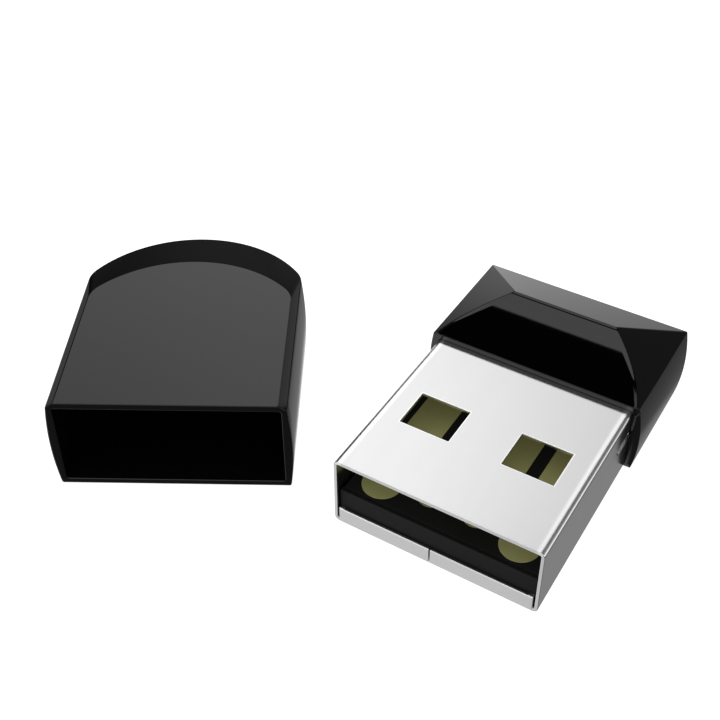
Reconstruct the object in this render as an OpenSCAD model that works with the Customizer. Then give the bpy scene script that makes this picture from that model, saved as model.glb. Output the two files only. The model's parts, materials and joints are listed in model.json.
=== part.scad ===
// Low-profile USB flash drive: a metal Type-A plug in a faceted head, with its loose cap.
// The plug points along -Y, its mouth lies on y = 0 and its underside on z = 0.

/* [Plug shell] */
// Width of the plug's metal shell
plug_w = 12; // [11.9:0.05:12.1]
// Height of the plug's metal shell
plug_h = 4.5; // [4.4:0.05:4.6]
// Length of plug standing out in front of the head
plug_l = 11.4; // [11:0.1:12]
// Thickness of the sheet metal
sheet = 0.2; // [0.15:0.05:0.3]
// Outside radius of the shell's long corners
shell_r = 0.3; // [0.25:0.05:0.6]
// Height of the lip folded up across the mouth
lip_h = 1; // [0.6:0.05:1.2]
// Width of a latch window
window_w = 2.95; // [2.5:0.05:3]
// Length of a latch window
window_l = 2.55; // [2:0.05:2.8]
// Distance from the mouth to the near edge of a window
window_y = 4.3; // [4:0.1:5.2]
// Distance from the middle of the plug to the middle of a window
window_x = 3.03; // [2.8:0.05:3.2]
// Distance of the shell's closing seam from the middle of its underside
seam_x = -0.2; // [-0.4:0.1:0.4]

/* [Head] */
// Depth of the head along the plug axis
head_l = 7.75; // [7:0.05:9]
// Width of the head at its underside
head_w = 12.7; // [12.6:0.1:13]
// Outward bulge of each side of the head
head_bulge = 0.25; // [0.1:0.05:0.4]
// Height of the head's side and rear edges
head_edge_h = 4.8; // [4.7:0.05:5]
// Height of the head's front edge
head_front_h = 4.88; // [4.8:0.02:5]
// Backward lean of the head's front face from its top edge to its underside
head_lean = 0.35; // [0:0.05:0.5]
// Height of the ridge
ridge_h = 6.45; // [6:0.05:7]
// Length of the ridge
ridge_w = 6.3; // [5:0.1:8]
// Depth of the hollow in the front slope
scoop = 0.22; // [0.1:0.02:0.3]

/* [Cap] */
// Place of the cap: lying beside the drive, lined up in front of the plug, or pushed home
cap_place = "beside"; // [beside, in_line, closed]
// Length of the cap's flat top along its middle
cap_flat_l = 12.65; // [12:0.05:13]
// Width of the cap's flat top
cap_flat_w = 11.9; // [11:0.05:12]
// Full length of the cap at its top edge
cap_l = 15.45; // [15:0.05:16]
// Height of the cap
cap_h = 6.1; // [6:0.05:6.5]
// Width of the cap at its underside and at its top edge
cap_w = 12.8; // [12.7:0.1:13]
// Outward bulge of the cap's walls at half height
cap_bulge = 0.2; // [0.2:0.05:0.5]
// Drop from the flat top to the top edge
bevel_h = 0.3; // [0.2:0.05:0.4]
// Sideways place of the mouth when the cap lies beside the drive
beside_x = -14.85; // [-18:0.05:-14.85]
// Lengthwise place of the mouth when the cap lies beside the drive
beside_y = -2.5; // [-4:0.1:0]
// Turn of the cap when it lies beside the drive
beside_turn = 30; // [20:1:35]

/* [Contacts and module] */
// Height of the contact face above the plug's underside
contact_z = 2.25; // [2.2:0.05:2.3]
// Width of the two outer contact pads
outer_pad_w = 2.2; // [1.8:0.1:2.2]
// Distance from the middle to an outer pad
outer_pad_x = 4.05; // [3.9:0.05:4.1]
// Width of the two inner contact pads
inner_pad_w = 1.7; // [1.4:0.1:1.8]
// Distance from the middle to an inner pad
inner_pad_x = 1.34; // [1.3:0.02:1.4]
// Length of the memory module
module_l = 15.4; // [15:0.1:15.4]
// Width of the module's laminate
board_w = 11.3; // [11:0.1:11.3]
// Width of the module's moulded body
module_w = 10.8; // [10.6:0.1:10.8]
// Thickness of the memory module
module_t = 1.4; // [1.3:0.05:1.4]

/* [Hidden] */
$fn = 48;

// Gap between neighbouring pieces, a wider one at the shell's rounded corners, and a cut's overshoot
gap = 0.02;
corner_gap = 0.05;
cut = 0.5;

// Shell behind the head's front face: a rebate takes the tube, slots take the two side tangs
rebate_l = 0.6;
shell_l = plug_l + rebate_l;
tang_l = 3.6;
tang_z = 1.2;
tang_h = 2.1;
tang_hole_r = 0.5;
tang_hole_y = shell_l + 2.2;
lip_w = plug_w - 2 * sheet - 0.2;
lip_ear_w = 0.3;
lip_ear_h = 0.07;
seam_w = 0.06;
dovetail_y = 6;
lance_l = 1.6;
lance_z = 2.85;
lance_slit = 0.2;
rib_out = 0.07;

// Head: flat underside, bulging sides, four facets that meet at the ridge
head_y = plug_l;
ridge_y = head_y + 4;
head_end = head_y + head_l;
bulge_r = (pow(head_edge_h / 2, 2) + pow(head_bulge, 2)) / (2 * head_bulge);
floor_t = 0.45;
cavity_w = 11.5;
cavity_top = 4;
cavity_l = head_l - 1.4;
cavity_end = head_y + cavity_l;

// Contact face downwards: substrate, then the moulded body with the dies inside it
substrate_t = 0.26;
substrate_z = contact_z - substrate_t;
module_z = contact_z - module_t;
tray_y = sheet + gap;
nose_t = 0.25;
module_y = tray_y + nose_t + gap;
pad_t = 0.04;
outer_pad_y = 0.6;
inner_pad_y = 1.5;
pad_end = 9.3;
film_t = 0.03;
die_t = 0.22;
tape_t = 0.06;

// Carrier tray and clamp block that hold the module
tray_w = 11.5;
tray_step = shell_l - 0.1;
tray_end = 17.1;
stop_t = 1.1;
rail_t = (tray_w - module_w) / 2 - gap;
clamp_y = 9.6;
clamp_w = 11.4;
clamp_top = plug_h - sheet - corner_gap;
clamp_tail_top = 3.95;

// Cap: walls and pocket
arch_r = 7.3;
cap_corner_r = 1.8;
cap_layers = 10;
cap_edge_z = cap_h - bevel_h;
cap_floor = 0.4;
pocket_w = plug_w + 0.16;
pocket_h = 5.3;
pocket_l = plug_l + 0.2;
pocket_r = 0.3;
grip_y = 1.6;
grip_w = 0.8;
grip_x = 2.2;
slip = 0.03;

// Parts in the mould, as [x, y, width, length, height], hanging under the substrate
controller = [-2.6, 3.4, 3.4, 2.8, die_t];
flash = [0, 10.2, 8.2, 8.4, die_t];
stack_step = 0.5;
crystal = [3.3, 2.3, 2, 1.6, 0.5];
reservoir = [3.4, 4.7, 1.6, 0.8, 0.8];
fuse = [0.7, 2.2, 0.8, 1.6, 0.6];
capacitors = [for (i = [0:3]) [-4.3 + 1.3 * i, 1.2, 1, 0.5, 0.5]];
resistors = [for (i = [0:2]) [0.7, 3.8 + 0.55 * i, 1, 0.35, 0.3]];

// Outline helpers: a rounded rectangle, and sweeps along Y and across X
module round_rect(w, h, r) {
    square([w - 2 * r, h], center = true);
    square([w, h - 2 * r], center = true);
    for (x = [-1, 1], y = [-1, 1])
        translate([x * (w / 2 - r), y * (h / 2 - r)]) circle(r);
}

module along_y(y, len) {
    translate([0, y + len, 0]) rotate([90, 0, 0]) linear_extrude(len) children();
}

module across_x(w) {
    rotate([90, 0, 90]) linear_extrude(w, center = true) children();
}

// A box given by its middle in x, its start in y and z, and its sizes
module bar(x, y, z, w, l, h) {
    translate([x - w / 2, y, z]) cube([w, l, h]);
}

// A part hanging from height top: p = [x, y, width, length, height]
module hanging(p, top) {
    bar(p[0], p[1] - p[3] / 2, top - p[4], p[2], p[3], p[4]);
}

module tube_section(w, h, r) {
    translate([0, plug_h / 2]) round_rect(w, h, r);
}

// Sheet-metal shell, wrapped round and closed by a seam with one dovetail
module dovetail(grow) {
    polygon([
        [-0.5 - grow, dovetail_y - 0.6 - grow], [0, dovetail_y - 0.35 - grow],
        [0, dovetail_y + 0.35 + grow], [-0.5 - grow, dovetail_y + 0.6 + grow]
    ]);
}

module seam() {
    translate([seam_x, 0, -cut]) linear_extrude(cut + lip_h + gap) difference() {
        union() {
            translate([-seam_w / 2, -cut]) square([seam_w, shell_l + 2 * cut]);
            dovetail(seam_w / 2);
        }
        translate([seam_w / 2, 0]) dovetail(-seam_w / 2);
    }
}

module side_lance(side) {
    x = side * (plug_w / 2 + rib_out / 2);
    bar(x, plug_l - lance_l, lance_z - 0.3, rib_out, lance_l - gap, 0.25);
}

module lance_cut(side) {
    bar(side * plug_w / 2, plug_l - lance_l, lance_z, 4 * sheet, lance_l - gap, lance_slit);
}

module tang(side) {
    x = side * (plug_w / 2 - sheet / 2);
    difference() {
        bar(x, shell_l - gap, tang_z, sheet, tang_l + gap, tang_h);
        translate([x, tang_hole_y, tang_z + tang_h / 2])
            rotate([0, 90, 0]) cylinder(h = 2 * sheet, r = tang_hole_r, center = true);
    }
}

module plug_shell() {
    color("gainsboro") {
        difference() {
            union() {
                difference() {
                    along_y(0, shell_l) tube_section(plug_w, plug_h, shell_r);
                    along_y(-cut, shell_l + 2 * cut)
                        tube_section(plug_w - 2 * sheet, plug_h - 2 * sheet, shell_r - sheet);
                }
                bar(0, 0, sheet / 2, lip_w, sheet, lip_h - sheet / 2);
                for (x = [-1, 1] * (lip_w - lip_ear_w) / 2)
                    bar(x, 0, lip_h - gap, lip_ear_w, sheet, gap + lip_ear_h);
            }
            for (x = [-1, 1]) {
                bar(x * window_x, window_y, -cut, window_w, window_l, plug_h + 2 * cut);
                lance_cut(x);
            }
            seam();
        }
        for (side = [-1, 1]) {
            tang(side);
            side_lance(side);
        }
    }
}

// Head: a bulging section along Y crossed with a hollow-fronted gable across X
module head_section() {
    slope = (ridge_h - head_edge_h) / ((head_w - ridge_w) / 2);
    crest = head_w / 2 + head_bulge;
    side_z = head_edge_h - slope * head_bulge;
    intersection() {
        polygon([
            [-crest, 0], [crest, 0], [crest, side_z], [ridge_w / 2, ridge_h],
            [-ridge_w / 2, ridge_h], [-crest, side_z]
        ]);
        translate([crest - bulge_r, head_edge_h / 2]) circle(bulge_r, $fn = 180);
        translate([bulge_r - crest, head_edge_h / 2]) circle(bulge_r, $fn = 180);
    }
}

module head_gable() {
    run = ridge_y - head_y;
    rise = ridge_h - head_front_h;
    chord = sqrt(run * run + rise * rise);
    r = (chord * chord / 4 + scoop * scoop) / (2 * scoop);
    lift = r - scoop;
    difference() {
        polygon([
            [head_y + head_lean, 0], [head_y, head_front_h], [ridge_y, ridge_h],
            [head_end, head_edge_h], [head_end, 0]
        ]);
        translate([head_y + run / 2 - lift * rise / chord, head_front_h + rise / 2 + lift * run / chord])
            circle(r, $fn = 180);
    }
}

module head_cover() {
    slot_w = plug_w + 2 * gap;
    slot_l = rebate_l + tang_l + 0.1;
    color([0.05, 0.05, 0.055]) {
        difference() {
            intersection() {
                along_y(head_y, head_l) head_section();
                across_x(2 * head_w) head_gable();
            }
            along_y(head_y - cut, cut + rebate_l + gap) tube_section(slot_w, plug_h + 2 * gap, shell_r + gap);
            bar(0, head_y - cut, floor_t, cavity_w + 2 * gap, cavity_l + cut, cavity_top - floor_t);
            bar(0, head_y - cut, tang_z - gap, slot_w, slot_l + cut, tang_h + 2 * gap);
        }
        for (side = [-1, 1])
            translate([side * (slot_w / 2 - sheet / 2 + gap), tang_hole_y, tang_z + tang_h / 2])
                rotate([0, 90, 0]) cylinder(h = sheet, r = tang_hole_r - 0.05, center = true);
    }
}

// Cap: one convex shell whose walls bulge, with a long rear bevel, and a blind pocket
module arch(half_w, apex) {
    intersection() {
        offset(r = cap_corner_r) offset(delta = -cap_corner_r) intersection() {
            translate([-half_w, -2 * cap_l]) square([2 * half_w, 4 * cap_l]);
            translate([0, apex - arch_r]) union() {
                circle(arch_r, $fn = 120);
                translate([-arch_r, -2 * cap_l]) square([2 * arch_r, 2 * cap_l]);
            }
        }
        translate([-half_w, 0]) square([2 * half_w, 2 * cap_l]);
    }
}

function bulge_at(z) = cap_bulge * (1 - pow(2 * z / cap_edge_z - 1, 2));

module cap_layer(z, half_w, apex) {
    translate([0, 0, z]) linear_extrude(0.01) arch(half_w, apex);
}

module cap_body() {
    hull() {
        for (i = [0:cap_layers]) {
            z = cap_edge_z * i / cap_layers;
            cap_layer(z, cap_w / 2 + bulge_at(z), cap_l + bulge_at(z));
        }
        cap_layer(cap_h - 0.01, cap_flat_w / 2, cap_flat_l);
    }
}

module loose_cap() {
    pocket_top = cap_floor + pocket_h;
    grip_z = cap_floor + plug_h + 2 * slip;
    difference() {
        cap_body();
        difference() {
            along_y(-cut, pocket_l + cut)
                translate([0, cap_floor + pocket_h / 2]) round_rect(pocket_w, pocket_h, pocket_r);
            for (x = [-grip_x, grip_x])
                bar(x, grip_y, grip_z, grip_w, pocket_l, pocket_top - grip_z + cut);
        }
    }
}

// Pushed home, the cap is turned round and its pocket floor lies just under the plug
module cap() {
    color([0.09, 0.09, 0.095]) {
        if (cap_place == "beside")
            translate([beside_x, beside_y, 0]) rotate([0, 0, beside_turn]) loose_cap();
        if (cap_place == "in_line")
            translate([0, -2, -cap_floor - slip]) rotate([0, 0, 180]) loose_cap();
        if (cap_place == "closed")
            translate([0, plug_l - slip, -cap_floor - slip]) rotate([0, 0, 180]) loose_cap();
    }
}

// Black tray under the module, with a nose wall in front, side rails and a stop wall at the rear
module module_carrier() {
    tray_z = sheet + corner_gap;
    tail_z = floor_t + gap;
    top = module_z - tape_t;
    color([0.08, 0.08, 0.08]) {
        bar(0, tray_y, tray_z, tray_w, tray_step - tray_y, top - tray_z);
        bar(0, tray_y, tray_z, tray_w, nose_t, contact_z - tray_z);
        bar(0, tray_step - gap, tail_z, tray_w, tray_end - tray_step + gap, top - tail_z);
        for (x = [-1, 1] * (tray_w - rail_t) / 2)
            bar(x, tray_y, top - gap, rail_t, tray_end - tray_y, substrate_z - top);
        bar(0, tray_end - stop_t, top - gap, tray_w, stop_t, clamp_tail_top - top);
    }
}

// Block above the rear of the module: it closes the plug and keeps the module down
module module_clamp() {
    tail_end = tray_end - stop_t - gap;
    z = contact_z + gap;
    color([0.12, 0.12, 0.12]) {
        bar(0, clamp_y, z, clamp_w, tray_step - clamp_y, clamp_top - z);
        bar(0, tray_step - gap, z, clamp_w, tail_end - tray_step + gap, clamp_tail_top - z);
    }
}

module module_tape() {
    color([0.75, 0.7, 0.55]) bar(0, 1.5, module_z - tape_t, 9, 13, tape_t);
}

module head_glue() {
    color([0.8, 0.75, 0.6]) bar(0, tray_end, floor_t + 0.3, 7, cavity_end - tray_end, 2.6);
}

// Module: laminate with four gold pads, over a black moulding
module module_substrate() {
    color([0.06, 0.07, 0.06]) bar(0, module_y, substrate_z, board_w, module_l, substrate_t);
}

module contact_pad(x, y, w) {
    color([0.62, 0.6, 0.36]) translate([x, y + w / 2, contact_z]) linear_extrude(pad_t) {
        circle(w / 2);
        translate([-w / 2, 0]) square([w, pad_end - y - w / 2]);
    }
}

module ground_pad() {
    contact_pad(-outer_pad_x, outer_pad_y, outer_pad_w);
}

module data_plus_pad() {
    contact_pad(-inner_pad_x, inner_pad_y, inner_pad_w);
}

module data_minus_pad() {
    contact_pad(inner_pad_x, inner_pad_y, inner_pad_w);
}

module power_pad() {
    contact_pad(outer_pad_x, outer_pad_y, outer_pad_w);
}

module mould_body() {
    color([0.1, 0.1, 0.1]) difference() {
        bar(0, module_y, module_z, module_w, module_l, substrate_z - module_z);
        controller_die();
        lower_flash_die();
        upper_flash_die();
        die_attach_films();
        bond_wires();
        oscillator();
        ceramic_capacitors();
        bulk_capacitor();
        chip_resistors();
        power_fuse();
    }
}

// Dies: the controller on its own, the two memory dies stepped back to bare their pads
die_top = substrate_z - film_t;
upper_top = die_top - die_t - film_t;
upper_flash = [flash[0], flash[1] + stack_step, flash[2], flash[3], die_t];

module controller_die() {
    color([0.45, 0.45, 0.5]) hanging(controller, die_top);
}

module lower_flash_die() {
    color([0.5, 0.5, 0.55]) hanging(flash, die_top);
}

module upper_flash_die() {
    color([0.55, 0.55, 0.6]) hanging(upper_flash, upper_top);
}

module film(p, top) {
    bar(p[0], p[1] - p[3] / 2, top - film_t, p[2], p[3], film_t);
}

module die_attach_films() {
    color([0.7, 0.65, 0.45]) {
        film(controller, substrate_z);
        film(flash, substrate_z);
        intersection() {
            film(flash, die_top - die_t);
            film(upper_flash, die_top - die_t);
        }
    }
}

// Gold wires: each leaves a die's lower face at [edge, drop] and climbs to the substrate
wire = 0.04;
wire_loop = 0.14;

module bond_wire(x, edge, reach, drop) {
    foot = edge + 0.1;
    land = edge - reach;
    low = substrate_z - drop - wire_loop;
    across = [
        [foot, substrate_z - drop], [foot, low], [edge - 0.1, low], [land, substrate_z],
        [land + wire, substrate_z], [edge - 0.1 + wire / 2, low + wire],
        [foot - wire, low + wire], [foot - wire, substrate_z - drop]
    ];
    translate([x, 0, 0]) across_x(wire) polygon(across);
}

module bond_wires() {
    controller_edge = controller[1] - controller[3] / 2;
    flash_edge = flash[1] - flash[3] / 2;
    lower_drop = film_t + die_t;
    color("gold") {
        for (i = [0:7]) bond_wire(controller[0] - 1.4 + 0.4 * i, controller_edge, 0.4, lower_drop);
        for (i = [0:11]) bond_wire(flash[0] - 3.3 + 0.6 * i, flash_edge, 0.45, lower_drop);
        for (i = [0:11]) bond_wire(flash[0] - 3 + 0.6 * i, flash_edge + stack_step, 1.3, 2 * lower_drop);
    }
}

module oscillator() {
    color([0.8, 0.78, 0.7]) hanging(crystal, substrate_z);
}

module ceramic_capacitors() {
    color([0.62, 0.48, 0.34]) for (p = capacitors) hanging(p, substrate_z);
}

module bulk_capacitor() {
    color([0.62, 0.48, 0.34]) hanging(reservoir, substrate_z);
}

module chip_resistors() {
    color([0.12, 0.12, 0.14]) for (p = resistors) hanging(p, substrate_z);
}

module power_fuse() {
    color([0.35, 0.42, 0.35]) hanging(fuse, substrate_z);
}

plug_shell();
head_cover();
cap();
module_carrier();
module_clamp();
module_tape();
head_glue();
module_substrate();
ground_pad();
data_plus_pad();
data_minus_pad();
power_pad();
mould_body();
controller_die();
lower_flash_die();
upper_flash_die();
die_attach_films();
bond_wires();
oscillator();
ceramic_capacitors();
bulk_capacitor();
chip_resistors();
power_fuse();
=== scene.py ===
"""Looks of a low-profile USB flash drive with its loose cap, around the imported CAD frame.

Meshes are drawn in millimetres in the drive's frame (plug along -Y, mouth on y = 0, underside on z = 0)
and scaled to metres when they are finished.
"""

import json
import math

import bmesh
import bpy
from mathutils import Matrix, Vector


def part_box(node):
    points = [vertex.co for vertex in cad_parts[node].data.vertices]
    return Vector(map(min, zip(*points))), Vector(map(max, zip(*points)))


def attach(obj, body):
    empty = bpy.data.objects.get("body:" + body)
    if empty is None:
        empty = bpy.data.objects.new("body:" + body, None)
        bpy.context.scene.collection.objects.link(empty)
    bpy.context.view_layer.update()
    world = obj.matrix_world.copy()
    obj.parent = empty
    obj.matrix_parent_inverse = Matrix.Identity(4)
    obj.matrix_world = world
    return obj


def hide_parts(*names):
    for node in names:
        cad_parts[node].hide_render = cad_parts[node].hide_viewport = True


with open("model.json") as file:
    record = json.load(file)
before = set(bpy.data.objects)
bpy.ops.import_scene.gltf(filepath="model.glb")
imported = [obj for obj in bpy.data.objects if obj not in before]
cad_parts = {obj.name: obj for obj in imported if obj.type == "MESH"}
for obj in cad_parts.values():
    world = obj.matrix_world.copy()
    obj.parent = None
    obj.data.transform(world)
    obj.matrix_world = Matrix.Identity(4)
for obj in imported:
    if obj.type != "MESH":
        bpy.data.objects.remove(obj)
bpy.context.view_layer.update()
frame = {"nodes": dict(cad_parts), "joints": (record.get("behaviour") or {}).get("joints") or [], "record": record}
nodes = frame["nodes"]
scene = bpy.context.scene
MM = 0.001


def box_mm(node):
    lo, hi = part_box(node)
    return lo / MM, hi / MM


# ---------------------------------------------------------------- node trees
class Graph:
    """Small helper for node trees. Apart from node, put and axes, each call returns one output."""

    def __init__(self, tree):
        self.tree = tree
        tree.nodes.clear()

    def node(self, kind, **props):
        made = self.tree.nodes.new(kind)
        for key, value in props.items():
            setattr(made, key, value)
        return made

    def put(self, socket, value):
        if isinstance(value, bpy.types.NodeSocket):
            self.tree.links.new(value, socket)
        else:
            socket.default_value = value

    def math(self, op, a, b=0.0, c=0.0, clamp=False):
        made = self.node("ShaderNodeMath", operation=op, use_clamp=clamp)
        for i, value in enumerate((a, b, c)):
            self.put(made.inputs[i], value)
        return made.outputs[0]

    def times(self, *values):
        total = values[0]
        for value in values[1:]:
            total = self.math("MULTIPLY", total, value)
        return total

    def ramp(self, value, lo, hi, out_lo=0.0, out_hi=1.0):
        made = self.node("ShaderNodeMapRange", interpolation_type="SMOOTHSTEP")
        for i, number in enumerate((value, lo, hi, out_lo, out_hi)):
            self.put(made.inputs[i], number)
        return made.outputs[0]

    def noise(self, vector, scale, detail=4.0, rough=0.5):
        made = self.node("ShaderNodeTexNoise")
        self.put(made.inputs["Vector"], vector)
        self.put(made.inputs["Scale"], scale)
        self.put(made.inputs["Detail"], detail)
        self.put(made.inputs["Roughness"], rough)
        return made.outputs[0]

    def stretched(self, scale):
        """Object coordinates with each axis scaled, for drawn grain or for another unit."""
        made = self.node("ShaderNodeMapping")
        self.put(made.inputs["Vector"], self.node("ShaderNodeTexCoord").outputs["Object"])
        self.put(made.inputs["Scale"], scale)
        return made.outputs[0]

    def axes(self, vector):
        made = self.node("ShaderNodeSeparateXYZ")
        self.put(made.inputs[0], vector)
        return made.outputs

    def mix_colour(self, share, a, b):
        made = self.node("ShaderNodeMix", data_type="RGBA")
        for i, value in ((0, share), (6, a), (7, b)):
            self.put(made.inputs[i], value)
        return made.outputs[2]

    def mix_number(self, share, a, b):
        made = self.node("ShaderNodeMix", data_type="FLOAT")
        for i, value in ((0, share), (2, a), (3, b)):
            self.put(made.inputs[i], value)
        return made.outputs[0]

    def bump(self, height, strength, distance, normal=None):
        made = self.node("ShaderNodeBump")
        self.put(made.inputs["Strength"], strength)
        self.put(made.inputs["Distance"], distance)
        self.put(made.inputs["Height"], height)
        if normal:
            self.put(made.inputs["Normal"], normal)
        return made.outputs[0]

    def round_normal(self, radius):
        made = self.node("ShaderNodeBevel", samples=6)
        self.put(made.inputs["Radius"], radius)
        return made.outputs[0]

    def edges(self, radius, gain):
        """0 on flat faces, 1 on edges: how far the surface normal is from its rounded version."""
        dot = self.node("ShaderNodeVectorMath", operation="DOT_PRODUCT")
        self.put(dot.inputs[0], self.round_normal(radius))
        self.put(dot.inputs[1], self.node("ShaderNodeNewGeometry").outputs["Normal"])
        return self.math("MULTIPLY", self.math("SUBTRACT", 1.0, dot.outputs["Value"]), gain, clamp=True)


def grey(level):
    return (level, level, level, 1.0)


# ---------------------------------------------------------------- materials
FINE_GRAIN = 8       # the fine grain is this many times finer than the broad one
LEAST_WEAR_AND_HIGHLIGHT = 0.35    # share of an edge's wear and painted highlight that the broad grain doesn't vary
WORN_ROUGHER = 0.08  # what full wear and painted highlight add to the roughness
GRAIN_DEPTH = 0.01 * MM


def surface(name, colour, edge_wear_and_highlight_colour, rough, rough_spread, grain=(1, 1, 1), grain_scale=400.0, bump=0.0,
            edge_radius=0.08, edge_gain=2.0, metallic=0.0, specular=0.5, spread=0.86, painted_highlight=None,
            glow=None, soften=0.0):
    """Principled surface with grain in its roughness and bump, colour that varies a little, and lighter edges:
    edge abrasion on most parts, painted highlight on the steel.

    edge_radius and soften are in millimetres. painted_highlight(graph) may return a 0..1 mask of painted highlight
    strips, as bright as the edges, glow is painted light, an emission standing in for the light scattered inside a
    deep recess, and soften is the radius over which edges catch the light.
    """
    material = bpy.data.materials.new(name)
    material.use_nodes = True
    g = Graph(material.node_tree)
    shader = g.node("ShaderNodeBsdfPrincipled")
    coords = g.stretched(grain)
    fine = g.noise(coords, grain_scale * FINE_GRAIN)
    broad = g.noise(coords, grain_scale, 2.0)
    edge = g.edges(edge_radius * MM, edge_gain)
    # edges lighter: edge wear on most parts, painted highlight on the steel
    wear_and_highlight = g.math("MULTIPLY", edge, g.math("ADD", LEAST_WEAR_AND_HIGHLIGHT, broad))
    # painted highlight: the mask's strips take the lighter edge colour
    if painted_highlight:
        wear_and_highlight = g.math("MAXIMUM", wear_and_highlight, painted_highlight(g))
    dark = tuple(channel * spread for channel in colour[:3]) + (1.0,)
    g.put(shader.inputs["Base Color"], g.mix_colour(wear_and_highlight, g.mix_colour(broad, dark, colour), edge_wear_and_highlight_colour))
    grained = g.math("ADD", rough, g.math("MULTIPLY", g.math("SUBTRACT", fine, 0.5), rough_spread))
    added_roughness = g.math("MULTIPLY", wear_and_highlight, WORN_ROUGHER)
    g.put(shader.inputs["Roughness"], g.math("ADD", grained, added_roughness, clamp=True))
    g.put(shader.inputs["Metallic"], metallic)
    g.put(shader.inputs["Specular IOR Level"], specular)
    rounded = g.round_normal(soften * MM) if soften else None
    if bump or rounded:
        g.put(shader.inputs["Normal"], g.bump(fine, bump, GRAIN_DEPTH, rounded))
    # painted light: an emission that makes a part in shade glow
    if glow:
        g.put(shader.inputs["Emission Color"], glow)
        g.put(shader.inputs["Emission Strength"], 1.0)
    out = g.node("ShaderNodeOutputMaterial")
    g.put(out.inputs["Surface"], shader.outputs[0])
    return material


PLUG_TOP = (4.3, 4.4)               # heights between which the top sheet's strips fade in
BEND_FROM, BEND_TO = 5.45, 5.66     # how far out from the middle each long bend's strip fades in
LIP_TOP, LIP_HALF = 1.0, 5.6        # the lip folded up across the mouth
LIP_ABOVE = (LIP_TOP + 0.2, LIP_TOP + 0.1)      # where its strip fades out above, to the side and behind
LIP_SIDE = (LIP_HALF + 0.1, LIP_HALF)
LIP_BACK = (0.1, 0.05)
WINDOW_MID = (3.03, 5.575)          # latch windows, x and y
WINDOW_HALF = (1.475, 1.275)
HIGHLIGHT_WIDTH = 0.09                       # width of a painted highlight strip


def painted_highlight_strips(g):
    """Mask of the shell's painted highlight strips: the two long bends, the lip's top edge and the windows' rims.
    """
    x, y, z = g.axes(g.stretched((1 / MM, 1 / MM, 1 / MM)))
    x = g.math("ABSOLUTE", x)
    top = g.ramp(z, *PLUG_TOP)
    bends = g.times(g.ramp(x, BEND_FROM, BEND_TO), top)
    below_top = g.ramp(z, LIP_TOP - HIGHLIGHT_WIDTH, LIP_TOP - HIGHLIGHT_WIDTH / 2)
    lip_level = g.times(below_top, g.ramp(z, *LIP_ABOVE))
    lip_place = g.times(g.ramp(x, *LIP_SIDE), g.ramp(y, *LIP_BACK))
    lip = g.times(lip_level, lip_place)
    past = [g.math("SUBTRACT", g.math("ABSOLUTE", g.math("SUBTRACT", place, mid)), half)
            for place, mid, half in zip((x, y), WINDOW_MID, WINDOW_HALF)]
    rims = g.times(g.ramp(g.math("MAXIMUM", *past), HIGHLIGHT_WIDTH, HIGHLIGHT_WIDTH / 2), top)
    return g.math("MAXIMUM", bends, g.math("MAXIMUM", lip, rims))


DRAWN = (1, 0.12, 1)    # grain stretched along the plug
PLATED = (1, 0.2, 1)    # the same, a little less

# painted highlight: the steel's edges and strips take grey 0.9, bright enough to clip to white
steel = surface("steel_satin", (0.60, 0.60, 0.603, 1), grey(0.9), 0.17, 0.03, grain=DRAWN, grain_scale=900,
                bump=0.004, edge_radius=0.09, edge_gain=7.0, metallic=1.0, spread=0.96, painted_highlight=painted_highlight_strips)
gloss = surface("gloss_black_head", grey(0.0004), grey(0.003), 0.05, 0.03, grain_scale=700, bump=0.02,
                soften=0.05)
cap_gloss = surface("gloss_black_cap", grey(0.0012), grey(0.005), 0.07, 0.04, grain_scale=700, bump=0.03,
                    specular=0.39)
pocket_black = surface("cap_inside", grey(0.0006), grey(0.002), 0.6, 0.15, grain_scale=700, bump=0.1,
                       specular=0.05)
carrier = surface("carrier_moulded", grey(0.006), grey(0.01), 0.45, 0.15, grain_scale=900, bump=0.2,
                  specular=0.08)
# painted light: the laminate glows faintly
laminate = surface("laminate_mask", (0.004, 0.0043, 0.003, 1), grey(0.01), 0.35, 0.15, grain_scale=1200,
                   bump=0.1, specular=0.1, glow=grey(0.0025))
# painted light: the gold pads glow, brightening them in the shell's shade
gold = surface("gold_flash", (0.26, 0.255, 0.105, 1), (0.3, 0.29, 0.15, 1), 0.5, 0.15, grain=PLATED,
               grain_scale=1200, bump=0.08, metallic=0.3, glow=(0.045, 0.043, 0.016, 1))
mould = surface("mould_epoxy", grey(0.02), grey(0.04), 0.6, 0.2, grain_scale=1500, bump=0.4)
silicon = surface("silicon_ground", (0.2, 0.21, 0.25, 1), grey(0.4), 0.2, 0.1, grain_scale=800, bump=0.05,
                  metallic=0.6)
film = surface("attach_film", (0.6, 0.55, 0.35, 1), grey(0.6), 0.5, 0.2, grain_scale=900, bump=0.1)
wire = surface("gold_wire", (0.85, 0.62, 0.2, 1), (0.95, 0.8, 0.4, 1), 0.25, 0.1, grain_scale=2000,
               bump=0.05, metallic=1.0)
component = surface("component_body", (0.5, 0.38, 0.26, 1), grey(0.6), 0.5, 0.2, grain_scale=1500, bump=0.2)
resistor = surface("resistor_body", (0.08, 0.08, 0.1, 1), grey(0.2), 0.45, 0.2, grain_scale=1500, bump=0.2)
glue = surface("adhesive", (0.65, 0.6, 0.45, 1), grey(0.7), 0.35, 0.2, grain_scale=900, bump=0.2)

BY_SLOT = {
    "steel_shell": steel,
    "gloss_black": gloss,
    "cap_black": cap_gloss,
    "carrier_black": carrier,
    "laminate": laminate,
    "gold_contact": gold,
    "mould_black": mould,
    "silicon": silicon,
    "attach_film": film,
    "gold_wire": wire,
    "component_body": component,
    "resistor_body": resistor,
    "adhesive": glue,
}
SLOT_OF = {part["node"]: part["material_slot"] for part in frame["record"]["subparts"]}
for name, obj in nodes.items():
    for slot in obj.material_slots:
        slot.material = BY_SLOT[SLOT_OF[name]]


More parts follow.
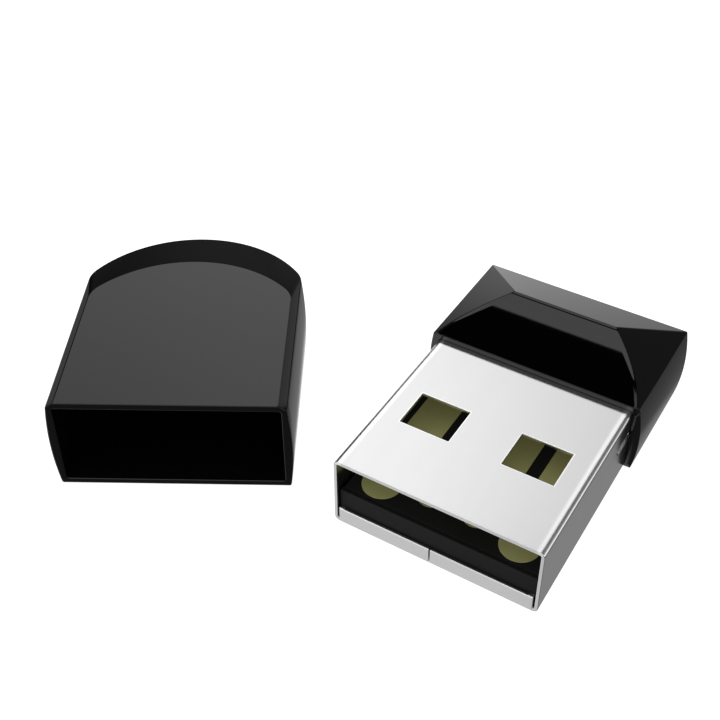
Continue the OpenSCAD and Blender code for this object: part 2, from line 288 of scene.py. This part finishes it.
# ---------------------------------------------------------------- mesh helpers, in millimetres
JOIN_WITHIN = 1e-5      # points nearer than this are one
EVEN_WEIGHT = 80        # how far large faces lead in the shading
ROUND_STEPS = 8         # steps in each rounded corner of the pocket and of the rebate


def new_object(name, verts, faces):
    mesh = bpy.data.meshes.new(name)
    mesh.from_pydata([tuple(point) for point in verts], [], [tuple(face) for face in faces])
    mesh.validate()
    bm = bmesh.new()
    bm.from_mesh(mesh)
    bmesh.ops.remove_doubles(bm, verts=bm.verts, dist=JOIN_WITHIN)
    bmesh.ops.recalc_face_normals(bm, faces=bm.faces)
    bm.to_mesh(mesh)
    bm.free()
    obj = bpy.data.objects.new(name, mesh)
    scene.collection.objects.link(obj)
    return obj


def loft(name, rings):
    """Closed solid through rings with the same number of points each."""
    count = len(rings[0])
    last = (len(rings) - 1) * count
    verts = [point for ring in rings for point in ring]
    faces = [list(range(count))[::-1], [last + i for i in range(count)]]
    for start in range(0, last, count):
        for i in range(count):
            j = (i + 1) % count
            faces.append([start + i, start + j, start + count + j, start + count + i])
    return new_object(name, verts, faces)


def block(name, lo, hi):
    x0, y0, z0 = lo
    x1, y1, z1 = hi
    return loft(name, [[(x0, y0, z), (x1, y0, z), (x1, y1, z), (x0, y1, z)] for z in (z0, z1)])


def bake(obj):
    """Applies an object's modifiers."""
    depsgraph = bpy.context.evaluated_depsgraph_get()
    mesh = bpy.data.meshes.new_from_object(obj.evaluated_get(depsgraph))
    obj.modifiers.clear()
    obj.data = mesh


def cut(obj, other):
    """Takes another solid away from an object."""
    modifier = obj.modifiers.new("cut", "BOOLEAN")
    modifier.solver, modifier.operation, modifier.object = "EXACT", "DIFFERENCE", other
    bake(obj)
    bpy.data.objects.remove(other)


def bevel(obj, width, segments, angle=None, clamp=True):
    """Rounds edges sharper than an angle, or those given a weight if no angle is given."""
    modifier = obj.modifiers.new("round", "BEVEL")
    modifier.width, modifier.segments, modifier.profile = width, segments, 0.5
    modifier.use_clamp_overlap = clamp
    if angle is None:
        modifier.limit_method = "WEIGHT"
    else:
        modifier.limit_method, modifier.angle_limit = "ANGLE", math.radians(angle)
    modifier.harden_normals = False


def finish_mesh(obj, material, matrix=None, sharp=24):
    """Scales to metres, places, sets smooth shading with sharp edges above an angle."""
    obj.data.transform(Matrix.Scale(MM, 4) @ (matrix or Matrix.Identity(4)))
    obj.data.materials.clear()
    obj.data.materials.append(material)
    for face in obj.data.polygons:
        face.use_smooth = True
    obj.data.set_sharp_from_angle(angle=math.radians(sharp))
    modifier = obj.modifiers.new("even", "WEIGHTED_NORMAL")
    modifier.keep_sharp, modifier.weight = True, EVEN_WEIGHT


def round_rect(w, h, r, steps, cz):
    """Points of a rounded rectangle centred on x = 0 and height cz, anticlockwise."""
    points = []
    for sx, sz, start in ((1, 1, 0), (-1, 1, 90), (-1, -1, 180), (1, -1, 270)):
        for i in range(steps + 1):
            a = math.radians(start + 90 * i / steps)
            points.append((sx * (w / 2 - r) + r * math.cos(a), cz + sz * (h / 2 - r) + r * math.sin(a)))
    return points


# ---------------------------------------------------------------- cap
CAP_BULGE, CAP_BEVEL = 0.2, 0.3
CAP_FLAT_HALF, CAP_FLAT_LEN = 5.95, 12.65
ARCH_R, CORNER_R = 7.3, 1.8
SIDE_STEPS, CORNER_STEPS, ARCH_STEPS, CAP_LEVELS = 12, 14, 28, 16
CAP_ROUND = 0.13                                                  # rounding of an edge of full weight
TOP_WEIGHT, SHOULDER_WEIGHT, BASE_WEIGHT, UPRIGHT_WEIGHT = 0.35, 0.6, 1.0, 0.7
SAME_LEVEL, AT_HEIGHT = 1e-4, 1e-3                                # heights nearer than these are the same
TOP_CREASE, CORNER_CREASE = 3, 60                                 # angles from which an edge is rounded
POCKET_W, POCKET_H, POCKET_L, POCKET_R, CAP_FLOOR = 12.16, 5.3, 11.6, 0.15, 0.4
POCKET_CLEAR, GRIP_CLEAR = 0.6, 1.0                               # how far the cutters stand out
POCKET_FROM, POCKET_NEAR = 0.05, 0.01                             # where its black starts, and its slack
FLARE, FLARE_FROM, FLARE_STEPS = 0.06, 6, 6                       # the pocket's rounded mouth
GRIP_X, GRIP_W, GRIP_Y, GRIP_Z = 2.2, 0.8, 1.6, 4.56              # grip ribs under the pocket's roof

joint = next(j for j in frame["joints"] if j["name"] == "cap_slide")
cap_turn = math.atan2(joint["axis"][0], -joint["axis"][1])
turned_back = Matrix.Rotation(-cap_turn, 4, "Z")
cap_points = [turned_back @ (vertex.co / MM) for vertex in nodes["cap"].data.vertices]
cap_lo = Vector([min(p[i] for p in cap_points) for i in range(3)])
cap_hi = Vector([max(p[i] for p in cap_points) for i in range(3)])
cap_mid_x = (cap_lo.x + cap_hi.x) / 2
cap_half = (cap_hi.x - cap_lo.x) / 2 - CAP_BULGE
cap_len = cap_hi.y - cap_lo.y - CAP_BULGE
cap_h = cap_hi.z - cap_lo.z
cap_edge_z = cap_h - CAP_BEVEL


def arc(cx, cy, r, start, sweep, steps):
    """Points along an arc, without its last one."""
    angles = [start + sweep * i / steps for i in range(steps)]
    return [(cx + r * math.cos(a), cy + r * math.sin(a)) for a in angles]


def arch(half, apex, z):
    """Outline of the cap at one height: straight mouth edge and sides, rounded corners, wide rear arc."""
    arc_y = apex - ARCH_R
    corner_x = half - CORNER_R
    corner_y = arc_y + math.sqrt((ARCH_R - CORNER_R) ** 2 - corner_x * corner_x)
    turn = math.atan2(corner_y - arc_y, corner_x)
    side = [(half, corner_y * i / SIDE_STEPS) for i in range(SIDE_STEPS)]
    side += arc(corner_x, corner_y, CORNER_R, 0, turn, CORNER_STEPS)
    side += arc(0, arc_y, ARCH_R, turn, math.pi / 2 - turn, ARCH_STEPS)
    right = [(x, y, z) for x, y in side]
    return right + [(0, apex, z)] + [(-x, y, z) for x, y, _ in reversed(right)]


def cap_ring(z):
    bulge = CAP_BULGE * (1 - (2 * z / cap_edge_z - 1) ** 2)
    return arch(cap_half + bulge, cap_len + bulge, z)


def cap_weight(a, b, angle):
    """How strongly the cap's edge from a to b is rounded."""
    level = abs(a.z - b.z) < SAME_LEVEL
    if level and a.z > cap_h - AT_HEIGHT:
        return TOP_WEIGHT if angle > TOP_CREASE else 0
    if level and abs(a.z - cap_edge_z) < AT_HEIGHT:
        return SHOULDER_WEIGHT
    if level and a.z < AT_HEIGHT:
        return BASE_WEIGHT
    return UPRIGHT_WEIGHT if angle > CORNER_CREASE else 0


def weigh(obj, rule):
    """Gives each edge the bevel weight that rule(a, b, face angle) returns."""
    bm = bmesh.new()
    bm.from_mesh(obj.data)
    weights = bm.edges.layers.float
    layer = weights.get("bevel_weight_edge") or weights.new("bevel_weight_edge")
    for edge in bm.edges:
        angle = math.degrees(edge.calc_face_angle(0))
        edge[layer] = rule(edge.verts[0].co, edge.verts[1].co, angle)
    bm.to_mesh(obj.data)
    bm.free()


def pocket_cutter():
    """The space inside the cap: a blind pocket with a flared mouth, less the two grip ribs."""
    sections = []
    for i in range(FLARE_STEPS + 1):
        a = math.radians(FLARE_FROM + (90 - FLARE_FROM) * i / FLARE_STEPS)
        sections.append((FLARE * (1 - math.cos(a)), FLARE * (1 - math.sin(a))))
    sections = [(-POCKET_CLEAR, sections[0][1])] + sections + [(POCKET_L, 0)]
    mid_z = CAP_FLOOR + POCKET_H / 2
    rings = []
    for y, grow in sections:
        w, h = POCKET_W + 2 * grow, POCKET_H + 2 * grow
        outline = round_rect(w, h, POCKET_R + grow, ROUND_STEPS, mid_z)
        rings.append([(x, y, z) for x, z in outline])
    cutter = loft("cap_cutter", rings)
    for x in (-GRIP_X, GRIP_X):
        lo = (x - GRIP_W / 2, GRIP_Y, CAP_FLOOR + GRIP_Z)
        hi = (x + GRIP_W / 2, POCKET_L + GRIP_CLEAR, CAP_FLOOR + POCKET_H + GRIP_CLEAR)
        cut(cutter, block("grip", lo, hi))
    return cutter


def blacken_pocket(cap):
    """Gives the faces inside the pocket their own, duller black."""
    cap.data.materials.append(pocket_black)
    to_cap = turned_back.to_3x3() * (1 / MM)
    for face in cap.data.polygons:
        place = to_cap @ face.center - Vector((cap_mid_x, cap_lo.y, 0))
        across = abs(place.x) < POCKET_W / 2 + POCKET_NEAR
        along = POCKET_FROM < place.y < POCKET_L + 2 * POCKET_NEAR
        upright = -POCKET_NEAR < place.z - CAP_FLOOR < POCKET_H + POCKET_NEAR
        if across and along and upright:
            face.material_index = 1


rings = [cap_ring(cap_edge_z * i / CAP_LEVELS) for i in range(CAP_LEVELS + 1)]
cap = loft("cap_visual", rings + [arch(CAP_FLAT_HALF, CAP_FLAT_LEN, cap_h)])
weigh(cap, cap_weight)
bevel(cap, CAP_ROUND, 4)
bake(cap)
cut(cap, pocket_cutter())
place_cap = Matrix.Rotation(cap_turn, 4, "Z") @ Matrix.Translation((cap_mid_x, cap_lo.y, cap_lo.z))
finish_mesh(cap, cap_gloss, place_cap)
blacken_pocket(cap)
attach(cap, "cap")
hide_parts("cap")

# ---------------------------------------------------------------- head
HEAD_BULGE, EDGE_H, FRONT_H, LEAN = 0.25, 4.8, 4.88, 0.35
RIDGE_HALF, RIDGE_RUN, SCOOP = 3.15, 4.0, 0.22
DISH, DISH_FADE = 0.07, 0.7                       # depth of the dished slope, and the run over which it fades
DISH_INSETS = (0, 0.08, 0.15, 0.22, 0.3)          # points across the dished border
RIM_RUN, RIM_DROP = 0.04, 0.05                    # the little step just under the ridge
SLOPE_STEPS, WALL_STEPS = 24, 16
HEAD_ROUND = 0.06
PLUG_W, SHELL_R, REBATE, GAP = 12.0, 0.3, 0.6, 0.02
CAVITY_HALF, CAVITY_Z, REAR_WALL = 5.77, (0.45, 4.0), 1.4
SLOT_HALF, SLOT_Z, SLOT_LEN = 6.02, (1.18, 3.32), 4.3
CUT_CLEAR = 0.5                                   # how far the cutters stand out in front of the head

head_lo, head_hi = box_mm("head_cover")
shell_lo, shell_hi = box_mm("plug_shell")
front_y, rear_y, top = head_lo.y, head_hi.y, head_hi.z
crest = head_hi.x
plug_h = shell_hi.z - shell_lo.z
bulge_r = ((EDGE_H / 2) ** 2 + HEAD_BULGE ** 2) / (2 * HEAD_BULGE)
side_slope = (top - EDGE_H) / (crest - HEAD_BULGE - RIDGE_HALF)


def head_half(z):
    return crest - bulge_r + math.sqrt(bulge_r ** 2 - (z - EDGE_H / 2) ** 2)


def head_front(z):
    return front_y + LEAN * (1 - z / FRONT_H)


def facet_half(z):
    return RIDGE_HALF + (top - z) / side_slope


def slope_profile():
    """(y, z) up the hollow front slope, from its front edge to the step under the ridge and the ridge."""
    rise = top - FRONT_H
    chord = math.hypot(RIDGE_RUN, rise)
    scoop_r = (chord ** 2 / 4 + SCOOP ** 2) / (2 * SCOOP)
    centre_y = front_y + RIDGE_RUN / 2 - (scoop_r - SCOOP) * rise / chord
    centre_z = FRONT_H + rise / 2 + (scoop_r - SCOOP) * RIDGE_RUN / chord
    ridge_y = front_y + RIDGE_RUN
    profile = []
    for i in range(SLOPE_STEPS):
        y = front_y + RIDGE_RUN * i / SLOPE_STEPS
        profile.append((y, centre_z - math.sqrt(scoop_r ** 2 - (y - centre_y) ** 2)))
    step = (ridge_y - RIM_RUN, top - RIM_RUN * rise / RIDGE_RUN - RIM_DROP)
    return profile + [step, (ridge_y, top)]


def head_solid():
    """Bulged walls, the dished front slope, two side facets and the rear facet."""
    verts, faces = [], []

    def corner(x, y, z):
        verts.append((x, y, z))
        return len(verts) - 1

    rings = []
    for i in range(WALL_STEPS + 1):
        z = EDGE_H * i / WALL_STEPS
        half, front = head_half(z), head_front(z)
        outline = ((-half, front), (half, front), (half, rear_y), (-half, rear_y))
        rings.append([corner(x, y, z) for x, y in outline])
    for a, b in zip(rings, rings[1:]):
        for i in range(4):
            j = (i + 1) % 4
            faces.append([a[i], a[j], b[j], b[i]])
    faces.append(rings[0][::-1])
    grid = []
    for y, z in slope_profile():
        depth = DISH * min(1.0, (front_y + RIDGE_RUN - y) / DISH_FADE)
        half = facet_half(z)
        border = [(half - d, z - depth * (1 - (1 - d / DISH_INSETS[-1]) ** 2)) for d in DISH_INSETS]
        grid.append([corner(-x, y, h) for x, h in border] + [corner(x, y, h) for x, h in reversed(border)])
    left, right = [row[0] for row in grid], [row[-1] for row in grid]
    front_left, front_right, rear_right, rear_left = rings[-1]
    faces.append([front_left, front_right] + grid[0][::-1])
    for a, b in zip(grid, grid[1:]):
        for i in range(len(a) - 1):
            faces.append([a[i], a[i + 1], b[i + 1], b[i]])
    faces.append([front_right, rear_right, right[-1]] + right[-2::-1])
    faces.append([front_left] + left + [rear_left])
    faces.append([rear_left, rear_right] + grid[-1][::-1])
    return new_object("head_visual", verts, faces)


head = head_solid()
bevel(head, HEAD_ROUND, 3, angle=12)
bake(head)
tube = round_rect(PLUG_W + 2 * GAP, plug_h + 2 * GAP, SHELL_R + GAP, ROUND_STEPS, plug_h / 2)
open_y = front_y - CUT_CLEAR
cut(head, loft("rebate", [[(x, y, z) for x, z in tube] for y in (open_y, front_y + REBATE + GAP)]))
for name, half, span, end_y in (("cavity", CAVITY_HALF, CAVITY_Z, rear_y - REAR_WALL),
                                ("slots", SLOT_HALF, SLOT_Z, front_y + SLOT_LEN)):
    cut(head, block(name, (-half, open_y, span[0]), (half, end_y, span[1])))
finish_mesh(head, gloss, sharp=20)
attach(head, "drive")
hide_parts("head_cover")

# ---------------------------------------------------------------- rounded edges on the CAD nodes that stay
EDGE_ROUND = {
    "plug_shell": 0.03,
    "module_substrate": 0.02,
    "module_carrier": 0.04,
    "ground_pad": 0.012,
    "data_plus_pad": 0.012,
    "data_minus_pad": 0.012,
    "power_pad": 0.012,
}
WELD_WITHIN = 1e-6                          # metres
EDGE_STEPS, EDGE_ANGLE, FLAT_ANGLE = 3, 35, 0.5
CAD_EVEN_WEIGHT = 100


def all_smooth_nodes():
    """Geometry nodes that shade every face smooth, whatever the CAD mesh says."""
    group = bpy.data.node_groups.new("all_smooth", "GeometryNodeTree")
    for way in ("INPUT", "OUTPUT"):
        group.interface.new_socket("Geometry", in_out=way, socket_type="NodeSocketGeometry")
    smoother = group.nodes.new("GeometryNodeSetShadeSmooth")
    group.links.new(group.nodes.new("NodeGroupInput").outputs[0], smoother.inputs[0])
    group.links.new(smoother.outputs[0], group.nodes.new("NodeGroupOutput").inputs[0])
    return group


all_smooth = all_smooth_nodes()
for name, width in EDGE_ROUND.items():
    obj = nodes[name]
    obj.modifiers.new("join", "WELD").merge_threshold = WELD_WITHIN
    bevel(obj, width * MM, EDGE_STEPS, angle=EDGE_ANGLE, clamp=False)
    flat = obj.modifiers.new("flat", "DECIMATE")
    flat.decimate_type, flat.angle_limit = "DISSOLVE", math.radians(FLAT_ANGLE)
    obj.modifiers.new("smooth", "NODES").node_group = all_smooth
    obj.modifiers.new("even", "WEIGHTED_NORMAL").weight = CAD_EVEN_WEIGHT

# ---------------------------------------------------------------- floor
FLOOR_HALF, FLOOR_GAP = 2.0, 0.02 * MM
PAPER, PAPER_ROUGH, PAPER_GLOW = 0.4, 0.9, 0.86


def paper_material():
    """White paper that reflections look through, so that glossy surfaces see only the studio."""
    material = bpy.data.materials.new("floor_paper")
    material.use_nodes = True
    g = Graph(material.node_tree)
    paper = g.node("ShaderNodeBsdfPrincipled")
    g.put(paper.inputs["Base Color"], grey(PAPER))
    g.put(paper.inputs["Roughness"], PAPER_ROUGH)
    g.put(paper.inputs["Specular IOR Level"], 0.0)
    g.put(paper.inputs["Emission Color"], grey(1.0))
    g.put(paper.inputs["Emission Strength"], PAPER_GLOW)
    mix = g.node("ShaderNodeMixShader")
    g.put(mix.inputs[0], g.node("ShaderNodeLightPath").outputs["Is Glossy Ray"])
    g.put(mix.inputs[1], paper.outputs[0])
    g.put(mix.inputs[2], g.node("ShaderNodeBsdfTransparent").outputs[0])
    out = g.node("ShaderNodeOutputMaterial")
    g.put(out.inputs["Surface"], mix.outputs[0])
    return material


sheet = bpy.data.meshes.new("floor")
corners = [(x * FLOOR_HALF, y * FLOOR_HALF, 0) for x, y in ((-1, -1), (1, -1), (1, 1), (-1, 1))]
sheet.from_pydata(corners, [], [(0, 1, 2, 3)])
sheet.materials.append(paper_material())
floor = bpy.data.objects.new("floor", sheet)
floor.location.z = -FLOOR_GAP
scene.collection.objects.link(floor)

# ---------------------------------------------------------------- studio
AMBIENT, DARK_STUDIO = 0.95, 0.004     # light on matt surfaces, and what reflections see between the panels

world = bpy.data.worlds.new("studio")
scene.world = world
world.use_nodes = True
g = Graph(world.node_tree)
dx, dy, dz = g.axes(g.node("ShaderNodeTexCoord").outputs["Generated"])
elev = g.math("MULTIPLY", g.math("ARCSINE", dz), 180 / math.pi)
azim = g.math("MULTIPLY", g.math("ARCTAN2", g.math("MULTIPLY", dx, -1.0), dy), 180 / math.pi)


def window(value, lo, hi, soft):
    """1 between lo and hi, fading over soft on both sides of each limit."""
    return g.times(g.ramp(value, lo - soft, lo + soft), g.ramp(value, hi - soft, hi + soft, 1.0, 0.0))


def softbox(az, el, soft, level):
    """A panel between two azimuths (from +Y towards -X) and two elevations, in degrees."""
    return g.times(window(azim, az[0], az[1], soft), window(elev, el[0], el[1], soft), level)


below = g.ramp(dz, -0.02, -0.25)
near_left = g.ramp(g.math("ADD", dx, g.math("MULTIPLY", dz, 0.8)), -0.70, -0.8, 0.12, 0.88)
far_left = g.ramp(dx, -0.27, -0.42, 0.25, 0.9)
far_right = g.ramp(dz, -0.66, -0.695, 0.15, 0.28)
far_level = g.mix_number(g.ramp(dx, -0.22, -0.05), far_left, far_right)
rear_low = g.times(window(azim, 0, 44, 7), window(elev, -14, 9, 4.5), g.ramp(azim, 6, 26, 0.36, 1.02))
rear_high_level = g.times(g.ramp(azim, 8, 33, 1.02, 1.61), g.ramp(azim, 36, 54, 1.0, 0.78))
rear_mid_level = g.times(g.ramp(azim, -5, 18, 0.5, 0.16), g.ramp(azim, 36, 52, 1.0, 0.4))
panels = [
    rear_low,
    softbox((-13, 54), (34, 54.5), 1.5, rear_high_level),
    softbox((-25, 60), (6, 30), 4, rear_mid_level),
    softbox((58, 80), (36, 60), 3, 0.9),                                # high on the left
    softbox((-60, -42), (-18, 4), 4, 1.0),                              # low behind, on the right
    g.times(g.ramp(dy, -0.055, -0.075), g.ramp(dz, 0.4, 0.5), 1.35),    # overhead, on the near side
    g.times(g.ramp(dx, 0.0, 0.25), g.ramp(dz, 0.0, 0.3), 0.12),         # faint, over the right half
    g.times(g.ramp(dy, -0.35, -0.6), window(elev, -4, 24, 5), 0.5),     # in front
    g.times(g.ramp(dx, 0.6, 0.85), window(elev, -4, 40, 8), 0.4),       # right
    g.times(g.ramp(dx, -0.88, -0.97), window(elev, -4, 40, 8), 0.4),    # left
    g.times(below, g.ramp(dy, 0.1, -0.4), near_left),                   # the ground, near and far
    g.times(below, g.ramp(dy, -0.2, 0.3), far_level),
]
reflected = DARK_STUDIO
for panel in panels:
    reflected = g.math("ADD", reflected, panel)
is_glossy = g.node("ShaderNodeLightPath").outputs["Is Glossy Ray"]
background = g.node("ShaderNodeBackground")
g.put(background.inputs["Color"], grey(1.0))
g.put(background.inputs["Strength"], g.mix_number(is_glossy, AMBIENT, reflected))
out = g.node("ShaderNodeOutputWorld")
g.put(out.inputs["Surface"], background.outputs[0])

SUN_POWER, SUN_SPREAD, SUN_TILT = 1.2, 80, (18, -14, 0)     # spread and tilt in degrees

sun = bpy.data.lights.new("soft_overhead", "SUN")
sun.energy, sun.angle = SUN_POWER, math.radians(SUN_SPREAD)
sun_obj = bpy.data.objects.new("soft_overhead", sun)
sun_obj.rotation_euler = [math.radians(angle) for angle in SUN_TILT]
sun_obj.visible_glossy = False
scene.collection.objects.link(sun_obj)

# ---------------------------------------------------------------- camera
AZIMUTH, DOWN, ROLL = math.radians(30.56), math.radians(38.79), math.radians(0.39)
CAMERA_AT = Vector((17.17, -34.60, 48.22))
SENSOR, LENS, SHIFT_X, SHIFT_Y = 36, 57.77, -0.0276, -0.0756
CLIP_NEAR, CLIP_FAR = 0.001, 20       # metres

forward = Vector((-math.sin(AZIMUTH) * math.cos(DOWN), math.cos(AZIMUTH) * math.cos(DOWN), -math.sin(DOWN)))
level_side = forward.cross(Vector((0, 0, 1))).normalized()
level_up = level_side.cross(forward)
side = math.cos(ROLL) * level_side + math.sin(ROLL) * level_up
up = math.cos(ROLL) * level_up - math.sin(ROLL) * level_side
cam_data = bpy.data.cameras.new("camera")
cam_data.sensor_width, cam_data.lens = SENSOR, LENS
cam_data.shift_x, cam_data.shift_y = SHIFT_X, SHIFT_Y
cam_data.clip_start, cam_data.clip_end = CLIP_NEAR, CLIP_FAR
cam = bpy.data.objects.new("camera", cam_data)
cam.matrix_world = Matrix.Translation(CAMERA_AT * MM) @ Matrix((side, up, -forward)).transposed().to_4x4()
scene.collection.objects.link(cam)
scene.camera = cam
scene.view_settings.view_transform = "Standard"
scene.view_settings.look = "None"
